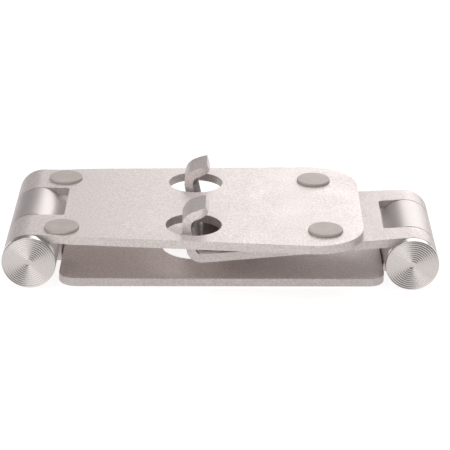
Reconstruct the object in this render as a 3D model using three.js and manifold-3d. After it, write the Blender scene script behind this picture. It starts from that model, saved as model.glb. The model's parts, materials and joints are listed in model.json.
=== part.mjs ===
// Folding two-hinge aluminium phone stand, folded flat and lying on its arm plate.
// Millimetres, +Z up, X along the stand, Y along both hinge axes, origin at the bottom centre.
// Chain: base plate - left hinge - arm plate - right hinge - cradle plate with two bent hooks.

import * as THREE from 'three';
import { mergeVertices } from 'three/addons/utils/BufferGeometryUtils.js';
import Module from 'manifold-3d';

const wasm = await Module();
wasm.setup();

// ---------------------------------------------------------------- driving dimensions

const HINGE_SPAN = 106.7;          // distance between the two hinge axes
const BARREL_RADIUS = 7.5;
const PLATE = 2.5;                 // sheet thickness of all three plates
const GAP = 0.3;                   // clearance between pieces that touch
const SEAM = 0.35;                 // gap between neighbouring knuckles
const ARC_STEPS = 36;              // segments in a full barrel circle
const SMALL_STEPS = 20;            // segments in a small round piece

const ARC_MIDDLE = 1 - Math.SQRT1_2;   // inset of a quarter round at its middle
const LEFT_X = -HINGE_SPAN / 2;
const RIGHT_X = HINGE_SPAN / 2;
const AXIS_Z = BARREL_RADIUS;

const KNUCKLE_HALF = 9.95;         // half the length of a centre knuckle
const LEFT_HALF = 24.75;           // half the length of the left barrel, without its cap
const RIGHT_HALF = 17.9;           // half the length of the right barrel, without its cap
const SLOT_CORNER = 1.0;           // inner corners of both fork slots
const CAP_DEPTH = 2.3;
const CAP_ROUND = 0.5;
const CAP_DIMPLE = 0.25;
const CAP_DIMPLE_RADIUS = 1.2;

const BASE_TILT = THREE.MathUtils.degToRad(1.14);
const BASE_LENGTH = 92.9;          // from the left axis to the free end
const BASE_HALF_NEAR = 24.9;       // half width at the left axis
const BASE_FLARE = 0.0625;         // growth of the half width per millimetre
const BASE_CORNER = 14;
const BASE_SLOT = 8.6;             // reach of the fork slot from the left axis
const HOLE_RADIUS = 7.85;
const HOLE_AT = 45.3;              // hole centres from the left axis
const HOLE_SIDE = 16;              // hole centres either side of the middle

const PAD_RADIUS = 4.85;
const PAD_HEIGHT = 0.75;
const PAD_EDGE = 0.35;             // chamfer of the pads' upper rim
const PAD_STEPS = 32;
const PAD_LIFT = 0.1;              // glue line under every silicone pad
const PAD_PLACES = {
  foot_pad_front_left: [8.7, -19.8],
  foot_pad_rear_left: [7.0, 17.5],
  foot_pad_front_right: [82.1, -19.2],
  foot_pad_rear_right: [80.1, 18.5],
};

const ARM_START = 7.9;             // arm plate ends, from each axis
const ARM_END = 7.2;
const ARM_HALF_LEFT = 25.8;
const ARM_HALF_RIGHT = 18.9;
const ARM_CORNER = 4.8;
const ARM_HOLE_RADIUS = 9.4;
const ARM_HOLE_AT = 45.4;          // from the left axis

const CRADLE_TILT = THREE.MathUtils.degToRad(5.79);
const CRADLE_HALF_NEAR = 17.9;
const CRADLE_FLARE = 0.053;
const CRADLE_SLOT = 7.9;
const CRADLE_BEND_AT = 61.1;       // plate centre line, right axis to the shelf corner
const HOOK_OUTER = 20.9;           // half width over both hooks
const FRONT_HOOK = [-HOOK_OUTER, -10.4];
const REAR_HOOK = [11.3, HOOK_OUTER];
const SHELF_BEND = 2.85;           // centre-line radii of the two hook bends
const LIP_BEND = 3.5;
const SHELF_LEAN = THREE.MathUtils.degToRad(12.9);
const SHELF_HEIGHT = 12.1;
const LIP_RISE = THREE.MathUtils.degToRad(22);
const LIP_LENGTH = 6.7;
const LIP_CORNER = 3.0;
const NOTCH_DEPTH = 0.7;           // the gap between the hooks ends this far past the shelf corner
const NOTCH_CORNER = 1.5;

const CRADLE_PAD_FROM = 20;
const CRADLE_PAD_TO = 58.4;
const CRADLE_PAD_HEIGHT = 0.7;
const CRADLE_PAD_MARGIN = 2.2;     // bare metal left along the plate's sides
const CRADLE_PAD_CORNER = 1.5;

const LINING = 0.9;                // silicone lining on the inner face of each shelf
const LINING_TOE = 1.3;            // its tapered foot in the shelf bend

const TONGUE = 1.2;                // tongue let into the underside of the arm plate
const TONGUE_REACH = 21;           // from the hinge axis
const TONGUE_HALF = 8;
const SCREW_AT = 14.5;             // screw centres from the hinge axis
const SCREW_SIDE = 4.5;
const SCREW_RADIUS = 1.25;
const SCREW_HEAD = 2.2;
const SCREW_SINK = 0.72;           // depth of the countersink
const SCREW_TOP = 1.9;             // the screws stay below the arm plate's upper face
const SOCKET_RADIUS = 0.8;
const SOCKET_DEPTH = 0.5;
const KNUCKLE_SHOULDER = THREE.MathUtils.degToRad(48);   // where the barrel turns into a straight shoulder

const SHAFT_RADIUS = 2.5;
const BORE_RADIUS = SHAFT_RADIUS + GAP;
const BUSH_OUTER = 3.8;
const BUSH_BORE = BUSH_OUTER + GAP;
const WASHER_RADIUS = 5.5;
const WASHER_THICK = 0.8;
const WELL_RADIUS = 5.3;           // counterbores under cap and plug
const WELL_DEPTH = 5.1;
const HEAD_RADIUS = 4.8;
const HEAD_THICK = 1.9;
const SPIGOT_RADIUS = 5.0;
const SPIGOT_LENGTH = 2.3;
const SPRING_THICK = 0.45;
const SPRING_RISE = 0.35;
const SPRING_RADIUS = 4.7;
const NUT_RADIUS = 4.4;
const NUT_THICK = 1.0;
const PLUG_THICK = 1.2;

// ---------------------------------------------------------------- materials

const finish = (color, roughness, metalness) =>
  new THREE.MeshStandardMaterial({ color, roughness, metalness });

const blasted = () => finish(0xd9cfcb, 0.55, 0.9);
const turned = () => finish(0xcfc7c4, 0.28, 1.0);
const spun = () => finish(0xe0dad7, 0.22, 1.0);
const silicone = () => finish(0xb9b1aa, 0.6, 0.0);
const darkSilicone = () => finish(0x5d5654, 0.75, 0.0);
const steel = () => finish(0x9a9a9c, 0.35, 1.0);
const bronze = () => finish(0xb08a4a, 0.4, 1.0);
const polymer = () => finish(0x3a3a3c, 0.6, 0.0);

// ---------------------------------------------------------------- solids

const solid = (geometry) => {
  const bare = geometry.clone();
  bare.deleteAttribute('normal');
  bare.deleteAttribute('uv');
  const merged = mergeVertices(bare, 1e-5);
  return new wasm.Manifold(new wasm.Mesh({
    numProp: 3,
    vertProperties: Float32Array.from(merged.attributes.position.array),
    triVerts: Uint32Array.from(merged.index.array),
  }));
};

const geometryOf = (manifold) => {
  const mesh = manifold.getMesh();
  const geometry = new THREE.BufferGeometry();
  geometry.setAttribute('position', new THREE.BufferAttribute(Float32Array.from(mesh.vertProperties), 3));
  geometry.setIndex(new THREE.BufferAttribute(Uint32Array.from(mesh.triVerts), 1));
  geometry.computeVertexNormals();
  return geometry;
};

const part = (name, shape, material) => {
  const geometry = shape.isBufferGeometry ? shape : geometryOf(shape);
  const mesh = new THREE.Mesh(geometry, material);
  mesh.name = name;
  return mesh;
};

// A disc or barrel on the Y axis through (x, z), reaching from y0 to y1.
const rod = (radius, x, z, y0, y1, steps = ARC_STEPS) => {
  const cylinder = new THREE.CylinderGeometry(radius, radius, y1 - y0, steps);
  cylinder.translate(x, (y0 + y1) / 2, z);
  return solid(cylinder);
};

// A cylinder on the Z axis through (x, y), reaching from z0 to z1.
const drill = (radius, x, y, z0, z1, steps = ARC_STEPS) => {
  const cylinder = new THREE.CylinderGeometry(radius, radius, z1 - z0, steps);
  cylinder.rotateX(Math.PI / 2);
  cylinder.translate(x, y, (z0 + z1) / 2);
  return solid(cylinder);
};

const block = (x0, x1, y0, y1, z0, z1) => {
  const box = new THREE.BoxGeometry(x1 - x0, y1 - y0, z1 - z0);
  box.translate((x0 + x1) / 2, (y0 + y1) / 2, (z0 + z1) / 2);
  return solid(box);
};

// A closed outline whose corners are rounded by the radius given with each point.
const roundedPoints = (corners, steps = 6) => {
  const points = [];
  corners.forEach(([x, y, radius], i) => {
    const here = new THREE.Vector2(x, y);
    if (!radius) {
      points.push(here);
      return;
    }
    const count = corners.length;
    const before = new THREE.Vector2(...corners[(i + count - 1) % count].slice(0, 2)).sub(here).normalize();
    const after = new THREE.Vector2(...corners[(i + 1) % count].slice(0, 2)).sub(here).normalize();
    const half = Math.acos(THREE.MathUtils.clamp(before.dot(after), -1, 1)) / 2;
    const middle = before.clone().add(after).normalize();
    const centre = here.clone().addScaledVector(middle, radius / Math.sin(half));
    const start = here.clone().addScaledVector(before, radius / Math.tan(half)).sub(centre);
    const end = here.clone().addScaledVector(after, radius / Math.tan(half)).sub(centre);
    const turn = Math.atan2(start.cross(end), start.dot(end));
    for (let k = 0; k <= steps; k += 1) {
      points.push(start.clone().rotateAround(new THREE.Vector2(), (turn * k) / steps).add(centre));
    }
  });
  return points;
};

const extrudeUp = (points, z0, z1) => {
  const geometry = new THREE.ExtrudeGeometry(new THREE.Shape(points), {
    depth: z1 - z0,
    bevelEnabled: false,
  });
  geometry.translate(0, 0, z0);
  return solid(geometry);
};

// Extrudes an outline drawn in (x, z) along Y.
const extrudeAcross = (points, y0, y1) => {
  const geometry = new THREE.ExtrudeGeometry(new THREE.Shape(points), {
    depth: y1 - y0,
    bevelEnabled: false,
  });
  geometry.rotateX(Math.PI / 2);
  geometry.translate(0, y1, 0);
  return solid(geometry);
};

// A solid of revolution about the Y axis through (x, z); the profile is [radius, y] pairs.
const turnedPiece = (profile, x, z, steps = ARC_STEPS) => {
  const lathe = new THREE.LatheGeometry(profile.map(([r, y]) => new THREE.Vector2(r, y)), steps);
  lathe.translate(x, 0, z);
  return lathe;
};

const ring = (inner, outer, y0, y1, x, z) =>
  turnedPiece([[inner, y0], [outer, y0], [outer, y1], [inner, y1], [inner, y0]], x, z, SMALL_STEPS);

// ---------------------------------------------------------------- hinge bores and hardware

// Cuts the shaft bore, washer recesses and the two end wells out of a two-eared fork.
const boredFork = (fork, x, half) => {
  const washerDepth = SEAM + WASHER_THICK + GAP;
  const bore = rod(BORE_RADIUS, x, AXIS_Z, -half - 1, half + 1);
  const recess = rod(WASHER_RADIUS + GAP, x, AXIS_Z, -KNUCKLE_HALF - washerDepth, KNUCKLE_HALF + washerDepth);
  const frontWell = rod(WELL_RADIUS, x, AXIS_Z, -half - 1, -half + WELL_DEPTH);
  const rearWell = rod(WELL_RADIUS, x, AXIS_Z, half - WELL_DEPTH, half + 1);
  const capRoom = rod(BARREL_RADIUS + GAP, x, AXIS_Z, -half - CAP_DEPTH - 2, -half);
  return [bore, recess, frontWell, rearWell, capRoom].reduce((left, tool) => left.subtract(tool), fork);
};

// Everything that rides on a fork's shaft, front to rear.
const hingeHardware = (side, x, half) => {
  const nodes = [];
  const add = (name, geometry, material) => nodes.push(part(`${side}_${name}`, geometry, material));

  const capFront = -half - CAP_DEPTH - GAP;
  const capBack = -half - GAP;
  const spigotEnd = capBack + SPIGOT_LENGTH;
  add('cap', turnedPiece([
    [0, capFront + CAP_DIMPLE],
    [CAP_DIMPLE_RADIUS, capFront],
    [BARREL_RADIUS - CAP_ROUND, capFront],
    [BARREL_RADIUS - CAP_ROUND * ARC_MIDDLE, capFront + CAP_ROUND * ARC_MIDDLE],
    [BARREL_RADIUS, capFront + CAP_ROUND],
    [BARREL_RADIUS, capBack],
    [SPIGOT_RADIUS, capBack],
    [SPIGOT_RADIUS, spigotEnd],
    [0, spigotEnd],
  ], x, AXIS_Z), spun());

  const headFront = spigotEnd + GAP;
  const nutBack = half - PLUG_THICK - GAP;
  add('shaft', turnedPiece([
    [0, headFront],
    [HEAD_RADIUS, headFront],
    [HEAD_RADIUS, headFront + HEAD_THICK],
    [SHAFT_RADIUS, headFront + HEAD_THICK],
    [SHAFT_RADIUS, nutBack],
    [0, nutBack],
  ], x, AXIS_Z, SMALL_STEPS), steel());

  const washerStart = KNUCKLE_HALF + GAP;
  const washerEnd = washerStart + WASHER_THICK;
  add('washer_front', ring(BORE_RADIUS, WASHER_RADIUS, -washerEnd, -washerStart, x, AXIS_Z), polymer());
  add('washer_rear', ring(BORE_RADIUS, WASHER_RADIUS, washerStart, washerEnd, x, AXIS_Z), polymer());

  let y = half - WELL_DEPTH + GAP;
  const inner = BORE_RADIUS;
  ['disc_spring_inner', 'disc_spring_outer'].forEach((name) => {
    add(name, turnedPiece([
      [inner, y + SPRING_RISE],
      [SPRING_RADIUS, y],
      [SPRING_RADIUS, y + SPRING_THICK],
      [inner, y + SPRING_RISE + SPRING_THICK],
      [inner, y + SPRING_RISE],
    ], x, AXIS_Z, SMALL_STEPS), steel());
    y += SPRING_THICK + GAP;
  });

  const nutStart = nutBack - NUT_THICK;
  const hexagon = new THREE.CylinderGeometry(NUT_RADIUS, NUT_RADIUS, NUT_THICK, 6);
  hexagon.translate(x, nutStart + NUT_THICK / 2, AXIS_Z);
  const nut = solid(hexagon).subtract(rod(BORE_RADIUS, x, AXIS_Z, nutStart - 1, nutBack + 1, SMALL_STEPS));
  add('lock_nut', nut, steel());

  add('rear_plug', rod(SPIGOT_RADIUS, x, AXIS_Z, half - PLUG_THICK, half), blasted());
  return nodes;
};

// ---------------------------------------------------------------- base plate

const basePlate = () => {
  const halfAt = (s) => BASE_HALF_NEAR + BASE_FLARE * s;
  const outline = roundedPoints([
    [0, -halfAt(0)],
    [BASE_LENGTH, -halfAt(BASE_LENGTH), BASE_CORNER],
    [BASE_LENGTH, halfAt(BASE_LENGTH), BASE_CORNER],
    [0, halfAt(0)],
  ], 10);
  const slotHalf = KNUCKLE_HALF + SEAM;
  const slot = extrudeUp(roundedPoints([
    [-BARREL_RADIUS - 1, -slotHalf],
    [BASE_SLOT, -slotHalf, SLOT_CORNER],
    [BASE_SLOT, slotHalf, SLOT_CORNER],
    [-BARREL_RADIUS - 1, slotHalf],
  ], 4), -BARREL_RADIUS - 1, BARREL_RADIUS + 1);

  let fork = extrudeUp(outline, BARREL_RADIUS - PLATE, BARREL_RADIUS);
  fork = fork.add(rod(BARREL_RADIUS, 0, 0, -LEFT_HALF, LEFT_HALF));
  fork = fork.subtract(slot);
  [-HOLE_SIDE, HOLE_SIDE].forEach((y) => {
    fork = fork.subtract(drill(HOLE_RADIUS, HOLE_AT, y, 0, BARREL_RADIUS + 1));
  });
  const placed = fork.rotate([0, -THREE.MathUtils.radToDeg(BASE_TILT), 0]).translate([LEFT_X, 0, AXIS_Z]);
  return part('base_plate', boredFork(placed, LEFT_X, LEFT_HALF), blasted());
};

const footPads = () => Object.entries(PAD_PLACES).map(([name, [s, y]]) => {
  const low = BARREL_RADIUS + PAD_LIFT;
  const profile = [
    [0, low],
    [PAD_RADIUS, low],
    [PAD_RADIUS, low + PAD_HEIGHT - PAD_EDGE],
    [PAD_RADIUS - PAD_EDGE, low + PAD_HEIGHT],
    [0, low + PAD_HEIGHT],
  ];
  const pad = new THREE.LatheGeometry(profile.map(([r, z]) => new THREE.Vector2(r, z)), PAD_STEPS);
  pad.rotateX(Math.PI / 2);
  pad.translate(s, y, 0);
  pad.rotateY(-BASE_TILT);
  pad.translate(LEFT_X, 0, AXIS_Z);
  return part(name, pad, silicone());
});

// ---------------------------------------------------------------- arm plate and its knuckles

const screwPlaces = () => [
  ['left_screw_front', LEFT_X + SCREW_AT, -SCREW_SIDE],
  ['left_screw_rear', LEFT_X + SCREW_AT, SCREW_SIDE],
  ['right_screw_front', RIGHT_X - SCREW_AT, -SCREW_SIDE],
  ['right_screw_rear', RIGHT_X - SCREW_AT, SCREW_SIDE],
];

const armPlate = () => {
  const start = LEFT_X + ARM_START;
  const end = RIGHT_X - ARM_END;
  const outline = roundedPoints([
    [start, -ARM_HALF_LEFT, ARM_CORNER],
    [end, -ARM_HALF_RIGHT, ARM_CORNER],
    [end, ARM_HALF_RIGHT, ARM_CORNER],
    [start, ARM_HALF_LEFT, ARM_CORNER],
  ]);
  let plate = extrudeUp(outline, 0, PLATE);
  plate = plate.subtract(drill(ARM_HOLE_RADIUS, LEFT_X + ARM_HOLE_AT, 0, -1, PLATE + 1));
  const recessHalf = TONGUE_HALF + GAP;
  const recessTop = TONGUE + GAP;
  const reach = TONGUE_REACH + GAP;
  plate = plate.subtract(block(LEFT_X, LEFT_X + reach, -recessHalf, recessHalf, -1, recessTop));
  plate = plate.subtract(block(RIGHT_X - reach, RIGHT_X, -recessHalf, recessHalf, -1, recessTop));
  screwPlaces().forEach(([, x, y]) => {
    plate = plate.subtract(drill(SCREW_RADIUS + GAP, x, y, -1, SCREW_TOP + GAP / 2, SMALL_STEPS));
  });
  return part('arm_plate', plate, blasted());
};

// The centre knuckle is a barrel with a straight shoulder that ends square against the arm plate.
// toArm is +1 when the arm lies towards +X of the hinge.
const centreKnuckle = (name, x, toArm, butt) => {
  const towards = (distance) => x + toArm * distance;
  const span = (a, b, y0, y1, z0, z1) =>
    block(Math.min(a, b), Math.max(a, b), y0, y1, z0, z1);
  const shoulderAt = BARREL_RADIUS * Math.cos(KNUCKLE_SHOULDER);
  const shoulderTop = AXIS_Z + BARREL_RADIUS * Math.sin(KNUCKLE_SHOULDER);
  const shoulderEnd = shoulderTop - (butt - shoulderAt) / Math.tan(KNUCKLE_SHOULDER);
  const outline = [
    [x, PLATE + GAP],
    [towards(butt), PLATE + GAP],
    [towards(butt), shoulderEnd],
    [towards(shoulderAt), shoulderTop],
    [x, shoulderTop],
  ].map(([px, pz]) => new THREE.Vector2(px, pz));
  let knuckle = rod(BARREL_RADIUS, x, AXIS_Z, -KNUCKLE_HALF, KNUCKLE_HALF);
  knuckle = knuckle.add(extrudeAcross(outline, -KNUCKLE_HALF, KNUCKLE_HALF));
  knuckle = knuckle.add(span(x, towards(butt), -TONGUE_HALF, TONGUE_HALF, 0, PLATE + 2 * GAP));
  knuckle = knuckle.add(span(x, towards(TONGUE_REACH), -TONGUE_HALF, TONGUE_HALF, 0, TONGUE));
  [-SCREW_SIDE, SCREW_SIDE].forEach((y) => {
    const headTop = SCREW_SINK + GAP;
    knuckle = knuckle.subtract(drill(SCREW_HEAD + GAP, towards(SCREW_AT), y, -1, headTop, SMALL_STEPS));
    knuckle = knuckle.subtract(drill(SCREW_RADIUS + GAP, towards(SCREW_AT), y, -1, TONGUE + 1, SMALL_STEPS));
  });
  knuckle = knuckle.subtract(rod(BUSH_BORE, x, AXIS_Z, -KNUCKLE_HALF - 1, KNUCKLE_HALF + 1));
  return part(name, knuckle, turned());
};

const bush = (name, x) =>
  part(name, ring(BORE_RADIUS, BUSH_OUTER, -KNUCKLE_HALF, KNUCKLE_HALF, x, AXIS_Z), bronze());

const tongueScrews = () => screwPlaces().map(([name, x, y]) => {
  const face = SCREW_SINK / 10;
  const profile = [
    [0, face],
    [SCREW_HEAD, face],
    [SCREW_HEAD, SCREW_SINK / 3],
    [SCREW_RADIUS, SCREW_SINK],
    [SCREW_RADIUS, SCREW_TOP],
    [0, SCREW_TOP],
  ];
  const screw = new THREE.LatheGeometry(profile.map(([r, z]) => new THREE.Vector2(r, z)), SMALL_STEPS);
  screw.rotateX(Math.PI / 2);
  screw.translate(x, y, 0);
  const socket = drill(SOCKET_RADIUS, x, y, -1, SOCKET_DEPTH, 6);
  return part(name, solid(screw).subtract(socket), steel());
});

// ---------------------------------------------------------------- cradle plate

const along = (point, direction, distance) => point.clone().addScaledVector(direction, distance);

const shelfDirection = new THREE.Vector2(-Math.sin(SHELF_LEAN), Math.cos(SHELF_LEAN));

// Centre line of the bent sheet in (x, z), from the barrel to the lip's end.
const cradleLine = () => {
  const plateDirection = new THREE.Vector2(-Math.cos(CRADLE_TILT), -Math.sin(CRADLE_TILT));
  const plateNormal = new THREE.Vector2(-Math.sin(CRADLE_TILT), Math.cos(CRADLE_TILT));
  const lipDirection = new THREE.Vector2(Math.cos(LIP_RISE), Math.sin(LIP_RISE));
  const start = along(new THREE.Vector2(RIGHT_X, AXIS_Z), plateNormal, BARREL_RADIUS - PLATE / 2);
  const shelfCorner = along(start, plateDirection, CRADLE_BEND_AT);
  const lipCorner = along(shelfCorner, shelfDirection, SHELF_HEIGHT);
  const lipEnd = along(lipCorner, lipDirection, LIP_LENGTH);
  return [start, shelfCorner, lipCorner, lipEnd];
};

// The side outline of a sheet that follows a line, each inner corner bent by its own radius.
const sheetOutline = (line, thickness, bends) => {
  const ways = line.slice(1).map((point, i) => point.clone().sub(line[i]).normalize());
  const face = (side) => {
    const half = (side * thickness) / 2;
    const normals = ways.map((way) => new THREE.Vector2(-way.y, way.x).multiplyScalar(half));
    const last = line.length - 1;
    return line.map((point, i) => {
      if (i === 0 || i === last) {
        const end = point.clone().add(normals[Math.min(i, last - 1)]);
        return [end.x, end.y, 0];
      }
      const sum = normals[i - 1].clone().add(normals[i]);
      const mitre = along(point, sum, (thickness * thickness) / 2 / sum.lengthSq());
      const inside = Math.sign(ways[i - 1].cross(ways[i]));
      return [mitre.x, mitre.y, bends[i - 1] - side * inside * (thickness / 2)];
    });
  };
  return roundedPoints([...face(1), ...face(-1).reverse()], 7);
};

const BELOW = -5;                  // cutting tools reach from here to ABOVE
const ABOVE = 40;

const cradleHalf = (s) => Math.min(CRADLE_HALF_NEAR + CRADLE_FLARE * s, HOOK_OUTER);

const cradlePlate = () => {
  const line = cradleLine();
  const [, shelfCorner, lipCorner, lipEnd] = line;
  const wide = HOOK_OUTER + 2;
  let sheet = extrudeAcross(sheetOutline(line, PLATE, [SHELF_BEND, LIP_BEND]), -wide, wide);

  // Plan outline: the plate widens evenly from the barrel up to the hooks' full width.
  const farX = lipCorner.x - HOOK_OUTER / 2;
  const fullAt = (HOOK_OUTER - CRADLE_HALF_NEAR) / CRADLE_FLARE;
  const plan = extrudeUp([
    [RIGHT_X + 1, -cradleHalf(0)],
    [RIGHT_X + 1, cradleHalf(0)],
    [RIGHT_X - fullAt, HOOK_OUTER],
    [farX, HOOK_OUTER],
    [farX, -HOOK_OUTER],
    [RIGHT_X - fullAt, -HOOK_OUTER],
  ].map(([x, y]) => new THREE.Vector2(x, y)), BELOW, ABOVE);
  sheet = sheet.intersect(plan);

  // The gap between the hooks: through the shelf and its bend, and through the lips above the plate.
  const tipX = lipEnd.x + (PLATE / 2) * Math.sin(LIP_RISE);
  const cutLow = lipCorner.y - PLATE;
  const notchEnd = shelfCorner.x + NOTCH_DEPTH;
  const [gapFront, gapRear] = [FRONT_HOOK[1], REAR_HOOK[0]];
  const lipGap = block(farX - 1, tipX + 1, gapFront, gapRear, cutLow - PLATE / 2, ABOVE);
  const shelfGap = extrudeUp(roundedPoints([
    [farX - 1, gapFront],
    [notchEnd, gapFront, NOTCH_CORNER],
    [notchEnd, gapRear, NOTCH_CORNER],
    [farX - 1, gapRear],
  ]), BELOW, ABOVE);
  sheet = sheet.subtract(shelfGap.add(lipGap));

  // Rounded corners at the ends of both lips, cut only above the shelf's upper bend.
  [FRONT_HOOK, REAR_HOOK].forEach(([y0, y1]) => {
    const keep = extrudeUp(roundedPoints([
      [farX, y0],
      [tipX, y0, LIP_CORNER],
      [tipX, y1, LIP_CORNER],
      [farX, y1],
    ], 8), cutLow, ABOVE);
    const zone = block(tipX - LIP_CORNER, tipX + 1, y0 - 1, y1 + 1, cutLow, ABOVE);
    sheet = sheet.subtract(zone.subtract(keep));
  });

  const slotHalf = KNUCKLE_HALF + SEAM;
  const slotEnd = RIGHT_X + BARREL_RADIUS + 1;
  const slot = extrudeUp(roundedPoints([
    [RIGHT_X - CRADLE_SLOT, -slotHalf, SLOT_CORNER],
    [slotEnd, -slotHalf],
    [slotEnd, slotHalf],
    [RIGHT_X - CRADLE_SLOT, slotHalf, SLOT_CORNER],
  ], 4), BELOW, ABOVE);
  const fork = sheet.add(rod(BARREL_RADIUS, RIGHT_X, AXIS_Z, -RIGHT_HALF, RIGHT_HALF)).subtract(slot);
  return part('cradle_plate', boredFork(fork, RIGHT_X, RIGHT_HALF), blasted());
};

const cradlePad = () => {
  const near = cradleHalf(CRADLE_PAD_FROM) - CRADLE_PAD_MARGIN;
  const far = cradleHalf(CRADLE_PAD_TO) - CRADLE_PAD_MARGIN;
  const outline = roundedPoints([
    [-CRADLE_PAD_FROM, -near, CRADLE_PAD_CORNER],
    [-CRADLE_PAD_FROM, near, CRADLE_PAD_CORNER],
    [-CRADLE_PAD_TO, far, CRADLE_PAD_CORNER],
    [-CRADLE_PAD_TO, -far, CRADLE_PAD_CORNER],
  ]);
  const low = BARREL_RADIUS + PAD_LIFT;
  const pad = extrudeUp(outline, low, low + CRADLE_PAD_HEIGHT)
    .rotate([0, -THREE.MathUtils.radToDeg(CRADLE_TILT), 0])
    .translate([RIGHT_X, 0, AXIS_Z]);
  return part('cradle_pad', pad, darkSilicone());
};

// A lining on each shelf's inner face, its foot tapered to follow the bend.
const hookLinings = () => {
  const [, shelfCorner] = cradleLine();
  const inward = new THREE.Vector2(Math.cos(SHELF_LEAN), Math.sin(SHELF_LEAN));
  const lowBend = SHELF_BEND * Math.tan((Math.PI / 2 - SHELF_LEAN + CRADLE_TILT) / 2);
  const highBend = LIP_BEND * Math.tan((Math.PI / 2 + SHELF_LEAN - LIP_RISE) / 2);
  const onShelf = (up, out) =>
    along(along(shelfCorner, shelfDirection, up), inward, PLATE / 2 + out);
  const outline = [
    onShelf(lowBend, PAD_LIFT),
    onShelf(lowBend - LINING_TOE, PAD_LIFT + LINING * 0.8),
    onShelf(lowBend - LINING_TOE, PAD_LIFT + LINING),
    onShelf(SHELF_HEIGHT - highBend, PAD_LIFT + LINING),
    onShelf(SHELF_HEIGHT - highBend, PAD_LIFT),
  ];
  const lining = (name, [y0, y1]) =>
    part(name, extrudeAcross(outline, y0 + PAD_LIFT, y1 - PAD_LIFT), darkSilicone());
  return [lining('front_hook_lining', FRONT_HOOK), lining('rear_hook_lining', REAR_HOOK)];
};

// ---------------------------------------------------------------- assembly

const stand = new THREE.Group();
stand.add(
  armPlate(),
  centreKnuckle('left_knuckle', LEFT_X, 1, ARM_START - GAP),
  centreKnuckle('right_knuckle', RIGHT_X, -1, ARM_END - GAP),
  bush('left_bush', LEFT_X),
  bush('right_bush', RIGHT_X),
  ...tongueScrews(),
  basePlate(),
  ...footPads(),
  ...hingeHardware('left', LEFT_X, LEFT_HALF),
  cradlePlate(),
  cradlePad(),
  ...hookLinings(),
  ...hingeHardware('right', RIGHT_X, RIGHT_HALF),
);

export default stand;
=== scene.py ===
"""Looks of the folding aluminium phone stand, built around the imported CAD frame.

Axes are the frame's own: X along the stand, Y along the hinges, Z up. Sizes of pieces are in
millimetres, and MM turns them into the frame's metres. The plates are drawn as outlines, extruded,
cut and given small rounded edges.
"""

import json
import math

import bmesh
import bpy
from mathutils import Matrix, Vector


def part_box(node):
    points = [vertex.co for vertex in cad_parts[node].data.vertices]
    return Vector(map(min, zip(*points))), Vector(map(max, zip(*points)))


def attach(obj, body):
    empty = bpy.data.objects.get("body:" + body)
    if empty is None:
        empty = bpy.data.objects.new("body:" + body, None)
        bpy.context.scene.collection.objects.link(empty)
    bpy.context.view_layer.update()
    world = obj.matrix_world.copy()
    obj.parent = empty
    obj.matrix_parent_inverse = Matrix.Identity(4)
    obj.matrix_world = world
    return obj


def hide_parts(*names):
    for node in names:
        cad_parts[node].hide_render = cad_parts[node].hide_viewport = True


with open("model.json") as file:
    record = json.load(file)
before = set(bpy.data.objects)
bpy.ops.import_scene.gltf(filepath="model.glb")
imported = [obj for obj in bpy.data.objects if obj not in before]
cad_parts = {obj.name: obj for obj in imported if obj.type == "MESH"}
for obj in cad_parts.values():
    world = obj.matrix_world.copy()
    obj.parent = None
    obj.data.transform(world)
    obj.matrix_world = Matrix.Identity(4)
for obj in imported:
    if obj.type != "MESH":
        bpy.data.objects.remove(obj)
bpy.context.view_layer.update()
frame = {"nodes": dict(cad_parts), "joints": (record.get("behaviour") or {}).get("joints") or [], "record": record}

MM = 0.001

# ---------------------------------------------------------------- sizes read from the frame

joint_at = {j["name"]: j["pos_m"] for j in frame["joints"]}
LEFT_X = joint_at["base_hinge"][0] / MM
RIGHT_X = joint_at["cradle_hinge"][0] / MM
AXIS_Z = joint_at["base_hinge"][2] / MM
RADIUS = AXIS_Z
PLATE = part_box("arm_plate")[1].z / MM
KNUCKLE_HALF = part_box("left_knuckle")[1].y / MM
LEFT_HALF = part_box("left_rear_plug")[1].y / MM
RIGHT_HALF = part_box("right_rear_plug")[1].y / MM
PLUG_RADIUS = (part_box("left_rear_plug")[1].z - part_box("left_rear_plug")[0].z) / 2 / MM
ARM_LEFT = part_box("arm_plate")[0].x / MM
ARM_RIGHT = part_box("arm_plate")[1].x / MM
BASE_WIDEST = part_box("base_plate")[1].y / MM

# ---------------------------------------------------------------- sizes of the pieces, millimetres

SEAM = 0.35                      # gap between neighbouring knuckles
GAP = 0.3                        # clearance between pieces that touch
EDGE = 0.22                      # rounding of the sheet's cut edges
BELOW = -5                       # cutting tools for the cradle reach from here to ABOVE
ABOVE = 40
BARREL_STEPS = 128
HOLE_STEPS = 96
CORNER_STEPS = 16

BASE_TILT = math.radians(1.14)
BASE_LENGTH = 92.9
BASE_HALF_NEAR = 24.9
BASE_FLARE = 0.0625
BASE_CORNER = 14.0
BASE_BLANK = 40                  # half width of the blank that the plan is cut from
BASE_FLUSH = 5.8                 # the plate is as wide as the barrel up to here
BASE_WIDENING = 6.0              # then it reaches its full width over this length
BASE_SLOT = 8.6
BARREL_POINTS = 72
SLOT_CORNER = 1.0
HOLE_RADIUS = 7.85
HOLE_AT = 45.3
HOLE_SIDE = 16.0

FOOT_PAD_HEIGHT = 0.75
FOOT_PAD_EDGE = 0.35
FOOT_PAD_CROWN = 0.03

SHAFT_BORE = 2.8
SHAFT_HEAD_WELL = 5.3
WELL_DEPTH = 5.1
PLUG_PLAY = 0.12
WASHER_WELL = 5.8
WASHER_SPACE = 1.1
BUSH_BORE = 4.1

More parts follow.
